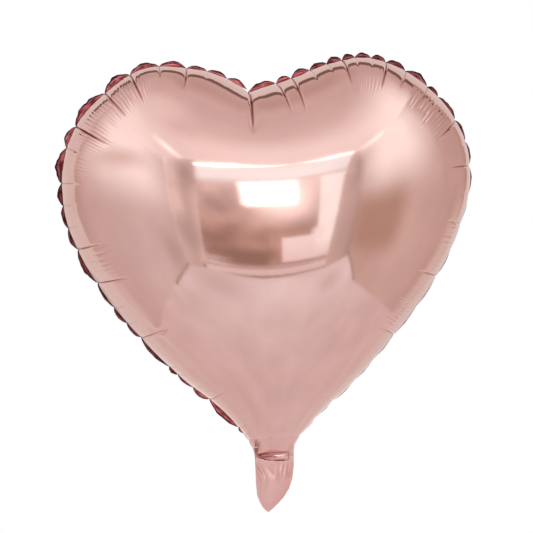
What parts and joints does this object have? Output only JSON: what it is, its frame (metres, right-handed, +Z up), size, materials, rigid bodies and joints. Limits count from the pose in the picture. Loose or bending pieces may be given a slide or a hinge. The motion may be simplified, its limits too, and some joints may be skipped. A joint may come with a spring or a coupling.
{
  "type": "heart-shaped foil balloon",
  "caption": "Inflated heart-shaped metallised film balloon with a flattened inflation tail and a self-sealing film valve, held by a ribbon tied round its neck.",
  "frame": {"origin": "middle of the neck, where the tail leaves the heart and the ribbon is tied, in the plane of the seam", "axes": "+Z up through the cleft between the lobes, -Y out of the front of the heart, +X to the right of someone facing the front"},
  "size_m": [0.394, 0.1892, 0.432],
  "materials": {
    "rose_gold_film": "mirror-bright metallised film, rose gold",
    "fused_sealant": "heat-fused film edge, darker where it is pressed",
    "clear_film": "thin clear polyethylene film",
    "release_ink": "heat-resistant print, matt"
  },
  "bodies": {
    "heart": {"front_foil": "rose_gold_film", "back_foil": "rose_gold_film", "seam_weld": "fused_sealant", "valve_back_film": "clear_film", "valve_release_print": "release_ink"},
    "valve_flap": {"valve_front_film": "clear_film"},
    "tail": {"tail_back_foil": "rose_gold_film", "tail_weld_left": "fused_sealant", "tail_weld_right": "fused_sealant", "inlet_back_film": "clear_film"},
    "inlet_lip": {"tail_front_foil": "rose_gold_film", "inlet_front_film": "clear_film"}
  },
  "joints": [
    {"name": "tail_fold", "type": "hinge", "parent": "heart", "child": "tail", "pos_m": [0, 0, 0], "axis": [1, 0, 0], "range_deg": [-90, 90], "stiffness_Nm_per_rad": 0.0006},
    {"name": "inlet_open", "type": "hinge", "parent": "tail", "child": "inlet_lip", "pos_m": [0, -0.00125, -0.003], "axis": [-1, 0, 0], "range_deg": [0, 12], "stiffness_Nm_per_rad": 0.0006},
    {"name": "valve_lift", "type": "hinge", "parent": "heart", "child": "valve_flap", "pos_m": [0, -0.0004, 0.003], "axis": [1, 0, 0], "range_deg": [0, 2.5], "stiffness_Nm_per_rad": 0.0006}
  ]
}
